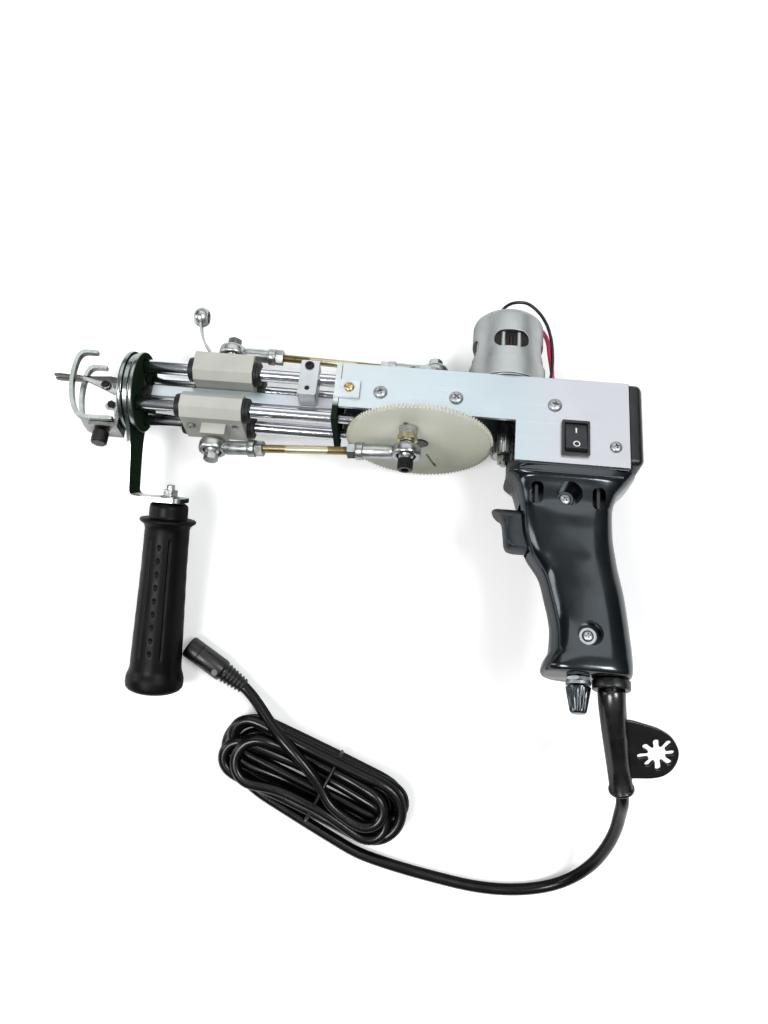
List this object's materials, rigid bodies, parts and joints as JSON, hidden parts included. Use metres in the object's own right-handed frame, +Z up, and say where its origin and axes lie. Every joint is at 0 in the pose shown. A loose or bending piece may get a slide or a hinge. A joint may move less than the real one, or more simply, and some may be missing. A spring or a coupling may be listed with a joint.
{
  "type": "handheld tufting machine",
  "caption": "Handheld electric tufting machine with pistol grip, side handle, guide rods, crank drive and presser foot, lying on its side with its cord tied in a hank.",
  "frame": {"origin": "on the resting surface, under the middle of the machine's bounding box without its cord", "axes": "+X from the needle to the rear cover along the barrel, +Z up from the surface the machine lies on; the machine is rolled 19.2 degrees about X, so its motor rim and the end of its side handle touch the surface"},
  "size_m": [0.3675, 0.3599, 0.1038],
  "materials": {
    "aluminium": "satin",
    "chrome": "polished",
    "zinc_steel": "satin",
    "brass": "drawn",
    "dark_steel": "dark oxide",
    "motor_steel": "satin",
    "ivory_nylon": "semi matte",
    "cream_nylon": "semi matte",
    "gloss_black": "polished",
    "black_plastic": "satin",
    "grey_plastic": "satin",
    "black_rubber": "satin",
    "cord_black": "gloss",
    "wire_red": "gloss"
  },
  "bodies": {
    "machine": {"housing_channel": "aluminium", "front_plate": "aluminium", "rear_cover": "black_plastic", "bearing_block": "aluminium", "lower_bearing": "dark_steel", "upper_bearing": "dark_steel", "motor_can": "motor_steel", "motor_flux_ring": "motor_steel", "motor_wire_black": "cord_black", "motor_wire_red": "wire_red", "guide_rod_upper_near": "chrome", "guide_rod_upper_far": "chrome", "guide_rod_lower_near": "chrome", "guide_rod_lower_far": "chrome", "center_bar": "aluminium", "clamp_block": "aluminium", "nose_plate_front": "chrome", "nose_plate_rear": "chrome", "scissor_blade_fixed": "dark_steel", "foot_clamp": "aluminium", "grip_half_left": "gloss_black", "grip_half_right": "gloss_black", "rocker_switch_case": "black_plastic", "cord_gland": "black_plastic", "cord_guard": "black_rubber", "cord_lead": "cord_black", "cord_tail": "cord_black", "cord_hank": "cord_black", "cord_connector": "black_plastic"},
    "gear": {"drive_gear": "ivory_nylon", "drive_shaft": "zinc_steel", "upper_crank": "zinc_steel", "crank_spacer": "zinc_steel"},
    "pinion": {"motor_pinion": "dark_steel"},
    "lower_carriage": {"lower_block": "cream_nylon", "lower_bushing_near": "black_rubber", "lower_bushing_far": "black_rubber", "lower_block_bolt": "zinc_steel", "needle": "chrome"},
    "lower_connecting_rod": {"lower_rod": "brass", "lower_rod_end_front": "zinc_steel", "lower_rod_end_rear": "zinc_steel", "lower_crank_bolt": "dark_steel"},
    "upper_carriage": {"upper_block": "cream_nylon", "upper_bushing_near": "black_rubber", "upper_bushing_far": "black_rubber", "upper_block_bolt": "zinc_steel", "yarn_guide": "chrome"},
    "upper_connecting_rod": {"upper_rod": "brass", "upper_rod_end_front": "zinc_steel", "upper_rod_end_rear": "zinc_steel", "upper_crank_bolt": "zinc_steel"},
    "moving_blade": {"scissor_blade_moving": "chrome"},
    "foot": {"presser_foot": "chrome"},
    "foot_screw": {"foot_knob": "black_plastic"},
    "side_handle": {"handle_bracket": "chrome", "front_handle": "black_rubber"},
    "trigger": {"trigger": "grey_plastic"},
    "rocker": {"rocker": "black_plastic"},
    "speed_dial": {"speed_knob": "black_plastic"}
  },
  "joints": [
    {"name": "gear_spin", "type": "hinge", "parent": "machine", "child": "gear", "pos_m": [0.0377, 0.0452, 0.04672], "axis": [0, 0.9444, -0.3289], "continuous": true},
    {"name": "pinion_spin", "type": "hinge", "parent": "machine", "child": "pinion", "pos_m": [0.086, 0.0452, 0.04672], "axis": [0, 0.9444, -0.3289], "continuous": true},
    {"name": "lower_carriage_slide", "type": "slide", "parent": "machine", "child": "lower_carriage", "axis": [1, 0, 0], "range_m": [-0.013, 0.0236]},
    {"name": "lower_rod_swing", "type": "hinge", "parent": "lower_carriage", "child": "lower_connecting_rod", "pos_m": [-0.0799, 0.03179, 0.05139], "axis": [0, 0.9444, -0.3289], "range_deg": [-1, 18.4]},
    {"name": "upper_carriage_slide", "type": "slide", "parent": "machine", "child": "upper_carriage", "axis": [1, 0, 0], "range_m": [-0.0139, 0.0021]},
    {"name": "upper_rod_swing", "type": "hinge", "parent": "upper_carriage", "child": "upper_connecting_rod", "pos_m": [-0.0786, 0.09214, 0.03037], "axis": [0, 0.9444, -0.3289], "range_deg": [-6.4, 1.3]},
    {"name": "scissor_hinge", "type": "hinge", "parent": "machine", "child": "moving_blade", "pos_m": [-0.148, 0.06385, 0.04372], "axis": [0, 0.3289, 0.9444], "range_deg": [-2.6, 16.2]},
    {"name": "foot_depth_slide", "type": "slide", "parent": "machine", "child": "foot", "axis": [-1, 0, 0], "range_m": [0, 0.006]},
    {"name": "foot_knob_turn", "type": "hinge", "parent": "machine", "child": "foot_screw", "pos_m": [-0.1459, 0.03576, 0.05001], "axis": [0, -0.9444, 0.3289], "range_deg": [-180, 180]},
    {"name": "side_handle_swivel", "type": "hinge", "parent": "machine", "child": "side_handle", "pos_m": [-0.13, 0.0622, 0.0408], "axis": [1, 0, 0], "range_deg": [-117, 0]},
    {"name": "trigger_pull", "type": "slide", "parent": "machine", "child": "trigger", "axis": [1, 0, 0], "range_m": [0, 0.006], "stiffness_N_per_m": 400},
    {"name": "rocker_tilt", "type": "hinge", "parent": "machine", "child": "rocker", "pos_m": [0.1225, 0.05014, 0.06576], "axis": [1, 0, 0], "range_deg": [0, 14]},
    {"name": "speed_dial_turn", "type": "hinge", "parent": "machine", "child": "speed_dial", "pos_m": [0.1282, -0.07511, 0.08862], "axis": [0, -0.9444, 0.3289], "range_deg": [0, 290]}
  ],
  "couplings": [
    {"joint": "pinion_spin", "follows": "gear_spin", "ratio": -5.9},
    {"joint": "scissor_hinge", "follows": "upper_carriage_slide", "rad_per_m": -20}
  ]
}
